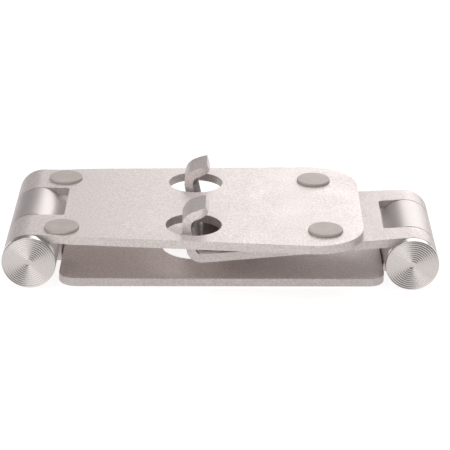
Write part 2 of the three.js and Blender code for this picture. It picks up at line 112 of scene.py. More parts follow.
ARM_HALF_LEFT = 25.8
ARM_HALF_RIGHT = 18.9
ARM_CORNER = 4.8
ARM_HOLE_RADIUS = 9.4
ARM_HOLE_AT = 45.4
TONGUE = 1.2
TONGUE_REACH = 21.0
TONGUE_HALF = 8.0
SCREW_AT = 14.5
SCREW_SIDE = 4.5
SCREW_RADIUS = 1.25
SCREW_HEAD = 2.2
SCREW_TOP = 1.9
SCREW_FACE = 0.06                # the heads sit this far above the underside
SCREW_NECK = 0.85                # the countersink ends here
SCREW_CHAMFER = 0.2
FIT_PLAY = 0.1                   # play round the tongues and screws
SOCKET_RADIUS = 0.85
SOCKET_DEPTH = 0.6
KNUCKLE_SHOULDER = math.radians(48)

CRADLE_TILT = math.radians(5.79)
CRADLE_HALF_NEAR = 17.9
CRADLE_FLARE = 0.053
CRADLE_BLANK = 24                # half width of the blank that the plan is cut from
CRADLE_SLOT = 7.9
CRADLE_BEND_AT = 61.1
HOOK_OUTER = 20.9
FRONT_HOOK = (-HOOK_OUTER, -10.4)
REAR_HOOK = (11.3, HOOK_OUTER)
SHELF_BEND = 2.85
LIP_BEND = 3.5
SHELF_LEAN = math.radians(12.9)
SHELF_HEIGHT = 12.1
LIP_RISE = math.radians(22)
LIP_LENGTH = 6.7
LIP_CORNER = 3.0
NOTCH_DEPTH = 0.7
NOTCH_CORNER = 1.5

CRADLE_PAD_FROM = 20.0
CRADLE_PAD_TO = 58.4
CRADLE_PAD_HEIGHT = 0.7
CRADLE_PAD_MARGIN = 2.2
CRADLE_PAD_CORNER = 1.5
PAD_LIFT = 0.1                   # glue line under the cradle pad and the linings
LINING = 0.9
LINING_TOE = 1.3                 # the linings' tapered foot

PAINTED_HIGHLIGHT_FROM = 15.2               # painted highlight: the hooks' cut edges are lighter above this height
PAINTED_HIGHLIGHT_TO = 16.5

CAP_DEPTH = 2.3
SPIGOT_RADIUS = 5.0
SPIGOT_LENGTH = 2.3
CAP_ROUND = 0.4
CAP_BREAK = 0.12                 # broken edge at the cap's back
CAP_STEPS = 160
RING_PITCH = 0.62                # V rings on the caps' faces
RING_FROM = 0.9
RING_MARGIN = 0.15
RING_SLOPE = math.radians(24)
DIMPLE = 0.6                     # slope of the centre cone as a share of the rings' slope

PLUG_CHAMFER = 0.2
PLUG_RIM = 0.9
PLUG_DISH = 0.16

# ---------------------------------------------------------------- outlines


def rounded(corners, steps=CORNER_STEPS):
    """A closed outline; each corner is (x, y) or (x, y, radius)."""
    points = []
    count = len(corners)
    for i, corner in enumerate(corners):
        here = Vector(corner[:2])
        radius = corner[2] if len(corner) > 2 else 0.0
        if radius == 0.0:
            points.append(here)
            continue
        before = (Vector(corners[i - 1][:2]) - here).normalized()
        after = (Vector(corners[(i + 1) % count][:2]) - here).normalized()
        half = before.angle(after) / 2
        centre = here + (before + after).normalized() * (radius / math.sin(half))
        start = here + before * (radius / math.tan(half)) - centre
        end = here + after * (radius / math.tan(half)) - centre
        turn = math.atan2(start.x * end.y - start.y * end.x, start.dot(end))
        for k in range(steps + 1):
            points.append(centre + Matrix.Rotation(turn * k / steps, 2) @ start)
    return points


def circle(x, y, radius, steps):
    angles = [2 * math.pi * k / steps for k in range(steps)]
    return [Vector((x + radius * math.cos(a), y + radius * math.sin(a))) for a in angles]


# ---------------------------------------------------------------- meshes


def new_object(name, bm):
    bmesh.ops.recalc_face_normals(bm, faces=bm.faces)
    mesh = bpy.data.meshes.new(name)
    bm.to_mesh(mesh)
    bm.free()
    obj = bpy.data.objects.new(name, mesh)
    bpy.context.scene.collection.objects.link(obj)
    return obj


def prism(name, outline, low, high, across=False):
    """Extrudes an outline up Z, or across Y when it is drawn in (x, z)."""
    bm = bmesh.new()

    def ring(level):
        if across:
            return [bm.verts.new((p.x * MM, level * MM, p.y * MM)) for p in outline]
        return [bm.verts.new((p.x * MM, p.y * MM, level * MM)) for p in outline]

    bottom = ring(low)
    top = ring(high)
    count = len(outline)
    bm.faces.new(bottom)
    bm.faces.new(top)
    for i in range(count):
        k = (i + 1) % count
        bm.faces.new((bottom[i], bottom[k], top[k], top[i]))
    return new_object(name, bm)


def lathe(name, profile, place, steps=BARREL_STEPS):
    """Turns (radius, height) points about Z, then puts the solid where place says."""
    bm = bmesh.new()
    rings = []
    for radius, height in profile:
        if radius == 0:
            rings.append([bm.verts.new((0, 0, height * MM))])
            continue
        spots = circle(0, 0, radius, steps)
        rings.append([bm.verts.new((p.x * MM, p.y * MM, height * MM)) for p in spots])
    for one, two in zip(rings, rings[1:]):
        for k in range(steps):
            n = (k + 1) % steps
            if len(one) == 1 and len(two) == 1:
                break
            if len(one) == 1:
                bm.faces.new((one[0], two[k], two[n]))
            elif len(two) == 1:
                bm.faces.new((one[k], one[n], two[0]))
            else:
                bm.faces.new((one[k], one[n], two[n], two[k]))
    bmesh.ops.transform(bm, matrix=place, verts=bm.verts)
    loose = [v for v in bm.verts if not v.link_faces]
    bmesh.ops.delete(bm, geom=loose, context="VERTS")
    return new_object(name, bm)


def on_axis(x, y=0.0):
    """Turns a lathe's height into +Y, about the barrel axis through x."""
    return Matrix.Translation(Vector((x, y, AXIS_Z)) * MM) @ Matrix.Rotation(-math.pi / 2, 4, "X")


def upright(x, y, z=0.0):
    return Matrix.Translation(Vector((x, y, z)) * MM)


def barrel(name, radius, x, y0, y1, steps=BARREL_STEPS):
    profile = [(0, y0), (radius, y0), (radius, y1), (0, y1)]
    return lathe(name, profile, on_axis(x), steps)


def drill(name, radius, x, y, z0, z1, steps=HOLE_STEPS):
    return lathe(name, [(0, z0), (radius, z0), (radius, z1), (0, z1)], upright(x, y), steps)


def brick(name, x0, x1, y0, y1, z0, z1):
    outline = [Vector(p) for p in ((x0, y0), (x1, y0), (x1, y1), (x0, y1))]
    return prism(name, outline, z0, z1)


def bake_modifiers(obj):
    """Replaces the object's mesh by the result of its modifiers."""
    graph = bpy.context.evaluated_depsgraph_get()
    mesh = bpy.data.meshes.new_from_object(obj.evaluated_get(graph))
    old = obj.data
    obj.modifiers.clear()
    obj.data = mesh
    mesh.name = obj.name
    bpy.data.meshes.remove(old)
    return obj


def combine(target, tool, operation):
    step = target.modifiers.new("combine", "BOOLEAN")
    step.operation = operation
    step.solver = "EXACT"
    step.object = tool
    bake_modifiers(target)
    bpy.data.objects.remove(tool)
    return target


def cut(target, *tools):
    for tool in tools:
        combine(target, tool, "DIFFERENCE")
    return target


def join(target, *tools):
    for tool in tools:
        combine(target, tool, "UNION")
    return target


def overlap(target, tool):
    return combine(target, tool, "INTERSECT")


def clean(obj, tolerance=0.004):
    """Merges the near-double points that cuts leave behind."""
    bm = bmesh.new()
    bm.from_mesh(obj.data)
    bmesh.ops.remove_doubles(bm, verts=bm.verts, dist=tolerance * MM)
    bmesh.ops.dissolve_limit(bm, angle_limit=math.radians(0.3), verts=bm.verts, edges=bm.edges)
    bm.to_mesh(obj.data)
    bm.free()
    return obj


def soften(obj, width=EDGE, segments=3, angle=32.0):
    """Rounds the sharp edges and sets smooth shading that keeps flat faces flat."""
    clean(obj)
    bevel = obj.modifiers.new("edge", "BEVEL")
    bevel.width = width * MM
    bevel.segments = segments
    bevel.limit_method = "ANGLE"
    bevel.angle_limit = math.radians(angle)
    bevel.use_clamp_overlap = True
    bevel.miter_outer = "MITER_ARC"
    bake_modifiers(obj)
    return smooth(obj)


def smooth(obj, angle=28.0):
    for polygon in obj.data.polygons:
        polygon.use_smooth = True
    obj.data.set_sharp_from_angle(angle=math.radians(angle))
    weight = obj.modifiers.new("normals", "WEIGHTED_NORMAL")
    weight.keep_sharp = True
    weight.weight = 80
    bake_modifiers(obj)
    return obj


def place_about(obj, x, angle):
    """Turns a piece drawn about the origin by the plate's tilt and carries it to its hinge axis."""
    turn = Matrix.Rotation(angle, 4, "Y")
    obj.data.transform(Matrix.Translation(Vector((x, 0, AXIS_Z)) * MM) @ turn)
    return obj


# ---------------------------------------------------------------- materials


class Nodes:
    """A short way to write a node material."""

    def __init__(self, name):
        self.material = bpy.data.materials.new(name)
        self.material.use_nodes = True
        self.tree = self.material.node_tree
        self.shader = self.tree.nodes["Principled BSDF"]
        coordinates = self.tree.nodes.new("ShaderNodeTexCoord")
        self.where = coordinates.outputs["Object"]
        self.facing = coordinates.outputs["Normal"]

    def node(self, kind, **settings):
        made = self.tree.nodes.new(kind)
        for key, value in settings.items():
            setattr(made, key, value)
        return made

    def link(self, source, target):
        self.tree.links.new(source, target)

    def noise(self, scale, detail=3.0, roughness=0.5, stretch=None):
        made = self.node("ShaderNodeTexNoise")
        made.inputs["Scale"].default_value = scale
        made.inputs["Detail"].default_value = detail
        made.inputs["Roughness"].default_value = roughness
        vector = self.where
        if stretch:
            mapping = self.node("ShaderNodeMapping")
            mapping.inputs["Scale"].default_value = stretch
            self.link(self.where, mapping.inputs["Vector"])
            vector = mapping.outputs["Vector"]
        self.link(vector, made.inputs["Vector"])
        return made.outputs["Fac"]

    def ramp(self, source, stops):
        made = self.node("ShaderNodeValToRGB")
        ramp = made.color_ramp
        while len(ramp.elements) < len(stops):
            ramp.elements.new(0.5)
        for element, (position, colour) in zip(ramp.elements, stops):
            element.position = position
            element.color = (*colour, 1.0)
        self.link(source, made.inputs["Fac"])
        return made.outputs["Color"]

    def bump(self, source, strength, distance, under=None):
        made = self.node("ShaderNodeBump")
        made.inputs["Strength"].default_value = strength
        made.inputs["Distance"].default_value = distance
        self.link(source, made.inputs["Height"])
        if under is not None:
            self.link(under, made.inputs["Normal"])
        return made.outputs["Normal"]

    def height_part(self, source):
        """The Z part of a place or a direction."""
        parts = self.node("ShaderNodeSeparateXYZ")
        self.link(source, parts.inputs["Vector"])
        return parts.outputs["Z"]

    def fade(self, source, start, end, low, high):
        """A value that runs from low to high while the source runs from start to end."""
        made = self.node("ShaderNodeMapRange")
        for socket, value in (("From Min", start), ("From Max", end), ("To Min", low), ("To Max", high)):
            if hasattr(value, "is_output"):
                self.link(value, made.inputs[socket])
            else:
                made.inputs[socket].default_value = value
        self.link(source, made.inputs["Value"])
        return made.outputs["Result"]

    def spread(self, noise, low, high):
        """Spreads a noise, which keeps to its middle range, over low to high."""
        return self.fade(noise, 0.3, 0.7, low, high)

    def paint_shade_by_facing(self, colour, upright, level):
        """Paints shade into a colour: scales it by one factor on upright faces and by another on level ones."""
        size = self.node("ShaderNodeMath", operation="ABSOLUTE")
        self.link(self.height_part(self.facing), size.inputs[0])
        mixed = self.node("ShaderNodeVectorMath", operation="SCALE")
        self.link(colour, mixed.inputs[0])
        self.link(self.fade(size.outputs["Value"], 0.25, 0.9, upright, level), mixed.inputs["Scale"])
        return mixed.outputs["Vector"]

    def set(self, **values):
        """Sets the shader's sockets, each to a value or to another node's output."""
        for key, value in values.items():
            socket = self.shader.inputs[key.replace("_", " ")]
            if hasattr(value, "is_output"):
                self.link(value, socket)
            else:
                socket.default_value = value


def blasted_metal_painted_shade(name, upright=0.82, level=1.0, painted_highlight_raised=None):
    """Bead-blasted warm silver anodising with painted shade on upright faces, and on level ones when level is
    below 1; the last argument is a painted highlight factor for upright faces above the plates.
    """
    m = Nodes(name)
    # Painted highlight: above the plates, the upright faces' factor runs up to the last argument.
    if painted_highlight_raised is not None:
        upright = m.fade(m.height_part(m.where), PAINTED_HIGHLIGHT_FROM * MM, PAINTED_HIGHLIGHT_TO * MM, upright, painted_highlight_raised)
    grain = m.noise(1700, detail=3.0, roughness=0.65)
    clouds = m.noise(140, detail=3.0)
    silver = m.ramp(grain, [(0.32, (0.65, 0.586, 0.569)), (0.68, (0.87, 0.803, 0.786))])
    m.set(
        # Painted shade: the grain colour is scaled down on upright faces, and on level faces when level is below
        # 1.
        Base_Color=m.paint_shade_by_facing(silver, upright, level),
        Metallic=0.72,
        Roughness=m.spread(clouds, 0.48, 0.56),
        Normal=m.bump(grain, 0.4, 0.00009),
    )
    return m.material


def turned_metal():
    """Fine turning lines round the barrel over a satin surface."""
    m = Nodes("turned_aluminium")
    lines = m.noise(900, detail=2.0, stretch=(0.15, 6.0, 0.15))
    grain = m.noise(3000, detail=2.0)
    m.set(
        Base_Color=m.ramp(lines, [(0.3, (0.56, 0.515, 0.50)), (0.7, (0.70, 0.65, 0.635))]),
        Metallic=0.85,
        Roughness=m.spread(lines, 0.44, 0.54),
        Normal=m.bump(lines, 0.25, 0.00004, m.bump(grain, 0.1, 0.00002)),
    )
    return m.material


def spun_metal():
    """Spun end cap: rings round the axis spread the light along the radius."""
    m = Nodes("spun_aluminium")
    tangent = m.node("ShaderNodeTangent", direction_type="RADIAL", axis="Y")
    grain = m.noise(2600, detail=2.0)
    m.set(
        Base_Color=m.ramp(grain, [(0.3, (0.565, 0.528, 0.511)), (0.7, (0.595, 0.558, 0.541))]),
        Metallic=1.0,
        Roughness=m.spread(grain, 0.22, 0.25),
        Anisotropic=0.85,
        Tangent=tangent.outputs["Tangent"],
    )
    return m.material


def clear_silicone():
    m = Nodes("clear_silicone")
    dust = m.noise(1800, detail=2.0)
    clouds = m.noise(300, detail=2.0)
    m.set(
        Base_Color=m.ramp(clouds, [(0.3, (0.50, 0.44, 0.41)), (0.7, (0.55, 0.485, 0.455))]),
        Roughness=m.spread(dust, 0.42, 0.55),
        Subsurface_Weight=0.25,
        Subsurface_Radius=(0.6, 0.5, 0.4),
        Subsurface_Scale=0.0006,
        Specular_IOR_Level=0.35,
        Normal=m.bump(dust, 0.15, 0.00003),
    )
    return m.material


def dark_silicone():
    m = Nodes("dark_silicone")
    dust = m.noise(1500, detail=3.0)
    clouds = m.noise(120, detail=2.0)
    m.set(
        Base_Color=m.ramp(clouds, [(0.3, (0.27, 0.235, 0.228)), (0.7, (0.33, 0.29, 0.282))]),
        Roughness=m.spread(dust, 0.6, 0.75),
        Normal=m.bump(dust, 0.3, 0.00005),
    )
    return m.material


def machined_steel():
    m = Nodes("steel")
    lines = m.noise(700, detail=3.0, stretch=(1.0, 5.0, 1.0))
    m.set(
        Base_Color=m.ramp(lines, [(0.3, (0.42, 0.42, 0.43)), (0.7, (0.56, 0.56, 0.57))]),
        Metallic=1.0,
        Roughness=m.spread(lines, 0.22, 0.38),
        Normal=m.bump(lines, 0.2, 0.00003),
    )
    return m.material


def sintered_bronze():
    m = Nodes("bronze")
    pores = m.noise(2500, detail=4.0, roughness=0.7)
    m.set(
        Base_Color=m.ramp(pores, [(0.35, (0.20, 0.11, 0.04)), (0.6, (0.48, 0.30, 0.12))]),
        Metallic=1.0,
        Roughness=m.spread(pores, 0.32, 0.5),
        Normal=m.bump(pores, 0.4, 0.00004),
    )
    return m.material


def acetal():
    m = Nodes("acetal")
    skin = m.noise(1800, detail=3.0)
    m.set(
        Base_Color=m.ramp(skin, [(0.3, (0.025, 0.025, 0.027)), (0.7, (0.04, 0.04, 0.042))]),
        Roughness=m.spread(skin, 0.4, 0.55),
        Normal=m.bump(skin, 0.2, 0.00003),
    )
    return m.material


def light_table():
    """A white table lit from below, so the ground stays pale right up to the stand."""
    m = Nodes("light_table")
    clouds = m.noise(3.0)
    m.set(
        Base_Color=m.ramp(clouds, [(0.3, (0.28, 0.28, 0.28)), (0.7, (0.30, 0.30, 0.30))]),
        Roughness=0.9,
        Specular_IOR_Level=0.1,
        Emission_Color=(1.0, 0.99, 0.985, 1),
        Emission_Strength=0.85,
    )
    return m.material


FINISH = {
    "blasted_aluminium": blasted_metal_painted_shade("blasted_aluminium"),
    "turned_aluminium": turned_metal(),
    "spun_aluminium": spun_metal(),
    "clear_silicone": clear_silicone(),
    "dark_silicone": dark_silicone(),
    "steel": machined_steel(),
    "bronze": sintered_bronze(),
    "acetal": acetal(),
}


# Shaded copies of the blasted aluminium with painted light: the arm's upright edges get darker painted shade; the
# cradle gets painted shade on upright and level faces and a painted highlight on the hooks' cut edges.
ARM_PAINTED_SHADE = blasted_metal_painted_shade("blasted_aluminium_arm_painted_shade", upright=0.70)
CRADLE_PAINTED_LIGHT = blasted_metal_painted_shade("blasted_aluminium_cradle_painted_light", upright=0.74, level=0.88, painted_highlight_raised=1.12)


def finish_piece(obj, slot, body, *nodes, finish=None):
    """Gives a new piece its material, its body and the CAD nodes that it stands for."""
    obj.data.materials.clear()
    obj.data.materials.append(finish or FINISH[slot])
    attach(obj, body)
    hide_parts(*nodes)
    return obj


# ---------------------------------------------------------------- base plate and its pads


def bored(fork, x, half):
    """Cuts the shaft bore, the washers' room and the two end wells out of a fork."""
    washer_reach = KNUCKLE_HALF + SEAM + WASHER_SPACE
    return cut(
        fork,
        barrel("bore", SHAFT_BORE, x, -half - 1, half + 1),
        barrel("recess", WASHER_WELL, x, -washer_reach, washer_reach),
        barrel("front_well", SHAFT_HEAD_WELL, x, -half - 1, -half + WELL_DEPTH),
        barrel("rear_well", PLUG_RADIUS + PLUG_PLAY, x, half - WELL_DEPTH, half + 1),
    )


def fork_slot(near, far, radius=SLOT_CORNER):
    """The gap between the two ears, from the plate's slot end to past the barrel."""
    half = KNUCKLE_HALF + SEAM
    corners = [(near, -half, radius), (far, -half), (far, half), (near, half, radius)]
    if near > far:
        corners.reverse()
    return prism("slot", rounded(corners, 6), -RADIUS - 1, RADIUS + 1)


def make_base_plate():
    def half_at(s):
        return BASE_HALF_NEAR + BASE_FLARE * s

    # Side view: the plate's underside meets the barrel, which carries on round to the top.
    arc = [math.pi / 2 + 2 * math.pi * k / BARREL_POINTS for k in range(BARREL_POINTS + 1)]
    underside_turn = 2 * math.pi + math.asin((RADIUS - PLATE) / RADIUS)
    side = [Vector((BASE_LENGTH, RADIUS - PLATE)), Vector((BASE_LENGTH, RADIUS))]
    for angle in arc:
        if angle <= underside_turn:
            side.append(Vector((RADIUS * math.cos(angle), RADIUS * math.sin(angle))))
    side.append(Vector((math.sqrt(RADIUS**2 - (RADIUS - PLATE) ** 2), RADIUS - PLATE)))
    plate = prism("base_plate_finished", side, -BASE_BLANK, BASE_BLANK, across=True)
    full_from = BASE_FLUSH + BASE_WIDENING
    plan = rounded([
        (-RADIUS - 1, -LEFT_HALF),
        (BASE_FLUSH, -LEFT_HALF),
        (full_from, -half_at(full_from)),
        (BASE_LENGTH, -half_at(BASE_LENGTH), BASE_CORNER),
        (BASE_LENGTH, half_at(BASE_LENGTH), BASE_CORNER),
        (full_from, half_at(full_from)),
        (BASE_FLUSH, LEFT_HALF),
        (-RADIUS - 1, LEFT_HALF),
    ], 24)
    plan = [Vector((p.x, max(-BASE_WIDEST, min(BASE_WIDEST, p.y)))) for p in plan]
    overlap(plate, prism("plan", plan, -RADIUS - 1, RADIUS + 1))
    cut(
        plate,
        fork_slot(BASE_SLOT, -RADIUS - 1),
        drill("hole", HOLE_RADIUS, HOLE_AT, -HOLE_SIDE, 0, RADIUS + 1),
        drill("hole", HOLE_RADIUS, HOLE_AT, HOLE_SIDE, 0, RADIUS + 1),
    )
    place_about(plate, LEFT_X, -BASE_TILT)
    bored(plate, LEFT_X, LEFT_HALF)
    soften(plate)
    return finish_piece(plate, "blasted_aluminium", "base", "base_plate")


def make_foot_pads():
    for node in sorted(n for n in frame["nodes"] if n.startswith("foot_pad")):
        low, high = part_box(node)
        middle = (low + high) / 2
        radius = (high.y - low.y) / 2 / MM
        height = FOOT_PAD_HEIGHT
        rim = FOOT_PAD_EDGE
        profile = [(0, 0), (radius, 0), (radius, height - rim)]
        for k in range(1, 7):
            turn = math.pi / 2 * k / 6
            profile.append((radius - rim + rim * math.cos(turn), height - rim + rim * math.sin(turn)))
        profile += [(radius / 2, height + FOOT_PAD_CROWN * 2 / 3), (0, height + FOOT_PAD_CROWN)]
        tilt = Matrix.Rotation(-BASE_TILT, 4, "Y")
        base = Matrix.Translation(middle - Vector((0, 0, height / 2 * MM)))
        pad = lathe(node + "_finished", profile, base @ tilt, 72)
        smooth(pad, 60)
        finish_piece(pad, "clear_silicone", "base", node)


# ---------------------------------------------------------------- arm plate and knuckles


def make_arm_plate():
    corners = rounded([
        (ARM_LEFT, -ARM_HALF_LEFT, ARM_CORNER),
        (ARM_RIGHT, -ARM_HALF_RIGHT, ARM_CORNER),
        (ARM_RIGHT, ARM_HALF_RIGHT, ARM_CORNER),
        (ARM_LEFT, ARM_HALF_LEFT, ARM_CORNER),
    ])
    plate = prism("arm_plate_finished", corners, 0, PLATE)
    wide = TONGUE_HALF + GAP / 2
    reach = TONGUE_REACH + GAP / 2
    deep = TONGUE + FIT_PLAY
    cut(
        plate,
        drill("cable_hole", ARM_HOLE_RADIUS, LEFT_X + ARM_HOLE_AT, 0, -1, PLATE + 1),
        brick("recess", LEFT_X, LEFT_X + reach, -wide, wide, -1, deep),
        brick("recess", RIGHT_X - reach, RIGHT_X, -wide, wide, -1, deep),
    )
    for x, y in screw_places():
        cut(plate, drill("tapped", SCREW_RADIUS + FIT_PLAY, x, y, -1, SCREW_TOP + FIT_PLAY, 32))
    soften(plate)
    return finish_piece(plate, "blasted_aluminium", "arm", "arm_plate", finish=ARM_PAINTED_SHADE)


def screw_places():
    return [
        (x, y)
        for x in (LEFT_X + SCREW_AT, RIGHT_X - SCREW_AT)
        for y in (-SCREW_SIDE, SCREW_SIDE)
    ]


def make_knuckle(side, x, to_arm, butt):
    """A barrel with a straight shoulder, and a tongue let into the arm plate."""
    def span(name, distance, y, z0, z1):
        far = x + to_arm * distance
        return brick(name, min(x, far), max(x, far), -y, y, z0, z1)

    shoulder_at = RADIUS * math.cos(KNUCKLE_SHOULDER)
    shoulder_top = AXIS_Z + RADIUS * math.sin(KNUCKLE_SHOULDER)
    shoulder_end = shoulder_top - (butt - shoulder_at) / math.tan(KNUCKLE_SHOULDER)
    side_outline = [Vector(p) for p in (
        (x, PLATE + GAP),
        (x + to_arm * butt, PLATE + GAP),
        (x + to_arm * butt, shoulder_end),
        (x + to_arm * shoulder_at, shoulder_top),
        (x, shoulder_top),
    )]
    knuckle = barrel(side + "_knuckle_finished", RADIUS, x, -KNUCKLE_HALF, KNUCKLE_HALF)
    join(
        knuckle,
        prism("shoulder", side_outline, -KNUCKLE_HALF, KNUCKLE_HALF, across=True),
        span("root", butt, TONGUE_HALF, 0, PLATE + 2 * GAP),
        span("tongue", TONGUE_REACH, TONGUE_HALF, 0, TONGUE),
    )
    for y in (-SCREW_SIDE, SCREW_SIDE):
        place = upright(x + to_arm * SCREW_AT, y)
        head, shank = SCREW_HEAD + FIT_PLAY, SCREW_RADIUS + FIT_PLAY
        sink = [(0, -1), (head, -1), (head, 0.25), (shank, SCREW_NECK + FIT_PLAY)]
        sink += [(shank, TONGUE + 1), (0, TONGUE + 1)]
        cut(knuckle, lathe("sink", sink, place, 48))
    cut(knuckle, barrel("bush_bore", BUSH_BORE, x, -KNUCKLE_HALF - 1, KNUCKLE_HALF + 1, 64))
    soften(knuckle, 0.18)
    return finish_piece(knuckle, "turned_aluminium", "arm", side + "_knuckle")


def make_screws():
    names = ["left_screw_front", "left_screw_rear", "right_screw_front", "right_screw_rear"]
    for name, (x, y) in zip(names, screw_places()):
        profile = [(0, SCREW_FACE), (SCREW_HEAD - 0.1, SCREW_FACE), (SCREW_HEAD, SCREW_FACE + 0.1)]
        profile += [(SCREW_HEAD, 0.28), (SCREW_RADIUS, SCREW_NECK)]
        profile += [(SCREW_RADIUS, SCREW_TOP - SCREW_CHAMFER), (SCREW_RADIUS - SCREW_CHAMFER, SCREW_TOP)]
        profile += [(0, SCREW_TOP)]
        screw = lathe(name + "_finished", profile, upright(x, y), 48)
        hexagon = [(0, -1), (SOCKET_RADIUS, -1), (SOCKET_RADIUS, SOCKET_DEPTH), (0, SOCKET_DEPTH + 0.15)]
        socket = lathe("socket", hexagon, upright(x, y), 6)
        cut(screw, socket)
        soften(screw, 0.05, 2)
        finish_piece(screw, "steel", "arm", name)


# ---------------------------------------------------------------- cradle plate and its pad


SHELF_WAY = Vector((-math.sin(SHELF_LEAN), math.cos(SHELF_LEAN)))


def cradle_line():
    """Centre line of the bent sheet in (x, z), from the barrel to the lip's end."""
    plate_way = Vector((-math.cos(CRADLE_TILT), -math.sin(CRADLE_TILT)))
    plate_up = Vector((-math.sin(CRADLE_TILT), math.cos(CRADLE_TILT)))
    lip_way = Vector((math.cos(LIP_RISE), math.sin(LIP_RISE)))
    start = Vector((RIGHT_X, AXIS_Z)) + plate_up * (RADIUS - PLATE / 2)
    shelf_corner = start + plate_way * CRADLE_BEND_AT
    lip_corner = shelf_corner + SHELF_WAY * SHELF_HEIGHT
    lip_end = lip_corner + lip_way * LIP_LENGTH
    return [start, shelf_corner, lip_corner, lip_end]


def sheet_outline(line, thickness, bends):
    """Both faces of a sheet of even thickness that follows a line, each corner with its own bend."""
    ways = [(b - a).normalized() for a, b in zip(line, line[1:])]
    normals = [Vector((-w.y, w.x)) * thickness / 2 for w in ways]
    faces = []
    for side in (1, -1):
        points = [(*(line[0] + side * normals[0]), 0.0)]
        for i in range(1, len(line) - 1):
            total = normals[i - 1] + normals[i]
            mitre = line[i] + side * total * (thickness**2 / 2 / total.length_squared)
            left = ways[i - 1].x * ways[i].y - ways[i - 1].y * ways[i].x
            points.append((*mitre, bends[i - 1] - side * math.copysign(thickness / 2, left)))
        points.append((*(line[-1] + side * normals[-1]), 0.0))
        faces.append(points)
    return rounded(faces[0] + faces[1][::-1], 20)


def cradle_half(s):
    return min(CRADLE_HALF_NEAR + CRADLE_FLARE * s, HOOK_OUTER)


def make_cradle_plate():
    line = cradle_line()
    side_outline = sheet_outline(line, PLATE, (SHELF_BEND, LIP_BEND))
    sheet = prism("cradle_plate_finished", side_outline, -CRADLE_BLANK, CRADLE_BLANK, across=True)
    far = line[2].x - 8
    knee = (HOOK_OUTER - CRADLE_HALF_NEAR) / CRADLE_FLARE
    plan = [
        (RIGHT_X + 1, -cradle_half(0)),
        (RIGHT_X + 1, cradle_half(0)),
        (RIGHT_X - knee, HOOK_OUTER),
        (far, HOOK_OUTER),
        (far, -HOOK_OUTER),
        (RIGHT_X - knee, -HOOK_OUTER),
    ]
    overlap(sheet, prism("plan", [Vector(p) for p in plan], BELOW, ABOVE))

    # The gap between the hooks, then the rounded ends of the two lips.
    tip = line[3].x + PLATE / 2 * math.sin(LIP_RISE)
    low = line[2].y - PLATE
    notch_end = line[1].x + NOTCH_DEPTH
    front, rear = FRONT_HOOK[1], REAR_HOOK[0]
    notch = rounded([
        (far - 1, front),
        (notch_end, front, NOTCH_CORNER),
        (notch_end, rear, NOTCH_CORNER),
        (far - 1, rear),
    ])
    cut(sheet, prism("shelf_gap", notch, BELOW, ABOVE))
    cut(sheet, brick("lip_gap", far - 1, tip + 2, front, rear, low - PLATE / 2, ABOVE))
    for y0, y1 in (FRONT_HOOK, REAR_HOOK):
        zone = brick("zone", tip - LIP_CORNER, tip + 2, y0 - 1, y1 + 1, low, ABOVE)
        keep = rounded([
            (far - 2, y0),
            (tip, y0, LIP_CORNER),
            (tip, y1, LIP_CORNER),
            (far - 2, y1),
        ], 20)
        cut(zone, prism("keep", keep, low - 1, ABOVE + 1))
        cut(sheet, zone)
    join(sheet, barrel("ears", RADIUS, RIGHT_X, -RIGHT_HALF, RIGHT_HALF))
    slot = fork_slot(-CRADLE_SLOT, RADIUS + 1)
    slot.data.transform(Matrix.Translation(Vector((RIGHT_X, 0, AXIS_Z)) * MM))
    cut(sheet, slot)
    bored(sheet, RIGHT_X, RIGHT_HALF)
    soften(sheet)
    return finish_piece(sheet, "blasted_aluminium", "cradle", "cradle_plate", finish=CRADLE_PAINTED_LIGHT)


def make_cradle_pad():
    near = cradle_half(CRADLE_PAD_FROM) - CRADLE_PAD_MARGIN
    wide = cradle_half(CRADLE_PAD_TO) - CRADLE_PAD_MARGIN
    outline = rounded([
        (-CRADLE_PAD_FROM, -near, CRADLE_PAD_CORNER),
        (-CRADLE_PAD_FROM, near, CRADLE_PAD_CORNER),
        (-CRADLE_PAD_TO, wide, CRADLE_PAD_CORNER),
        (-CRADLE_PAD_TO, -wide, CRADLE_PAD_CORNER),
    ], 10)
    low = RADIUS + PAD_LIFT
    pad = prism("cradle_pad_finished", outline, low, low + CRADLE_PAD_HEIGHT)
    place_about(pad, RIGHT_X, -CRADLE_TILT)
    soften(pad, 0.2)
    return finish_piece(pad, "dark_silicone", "cradle", "cradle_pad")


def make_hook_linings():
    """A lining on the inner face of each shelf, its foot tapered to follow the bend."""
    shelf_corner = cradle_line()[1]
    inward = Vector((math.cos(SHELF_LEAN), math.sin(SHELF_LEAN)))
    low_bend = SHELF_BEND * math.tan((math.pi / 2 - SHELF_LEAN + CRADLE_TILT) / 2)
    high_bend = LIP_BEND * math.tan((math.pi / 2 + SHELF_LEAN - LIP_RISE) / 2)

    def on_shelf(up, out):
        return shelf_corner + SHELF_WAY * up + inward * (PLATE / 2 + out)

    outline = [
        on_shelf(low_bend, PAD_LIFT),
        on_shelf(low_bend - LINING_TOE, PAD_LIFT + LINING * 0.8),
        on_shelf(low_bend - LINING_TOE, PAD_LIFT + LINING),
        on_shelf(SHELF_HEIGHT - high_bend, PAD_LIFT + LINING),
        on_shelf(SHELF_HEIGHT - high_bend, PAD_LIFT),
    ]
    for name, (y0, y1) in (("front_hook_lining", FRONT_HOOK), ("rear_hook_lining", REAR_HOOK)):
        lining = prism(name + "_finished", outline, y0 + PAD_LIFT, y1 - PAD_LIFT, across=True)
        soften(lining, 0.12)
        finish_piece(lining, "dark_silicone", "cradle", name)


# ---------------------------------------------------------------- end caps and plugs


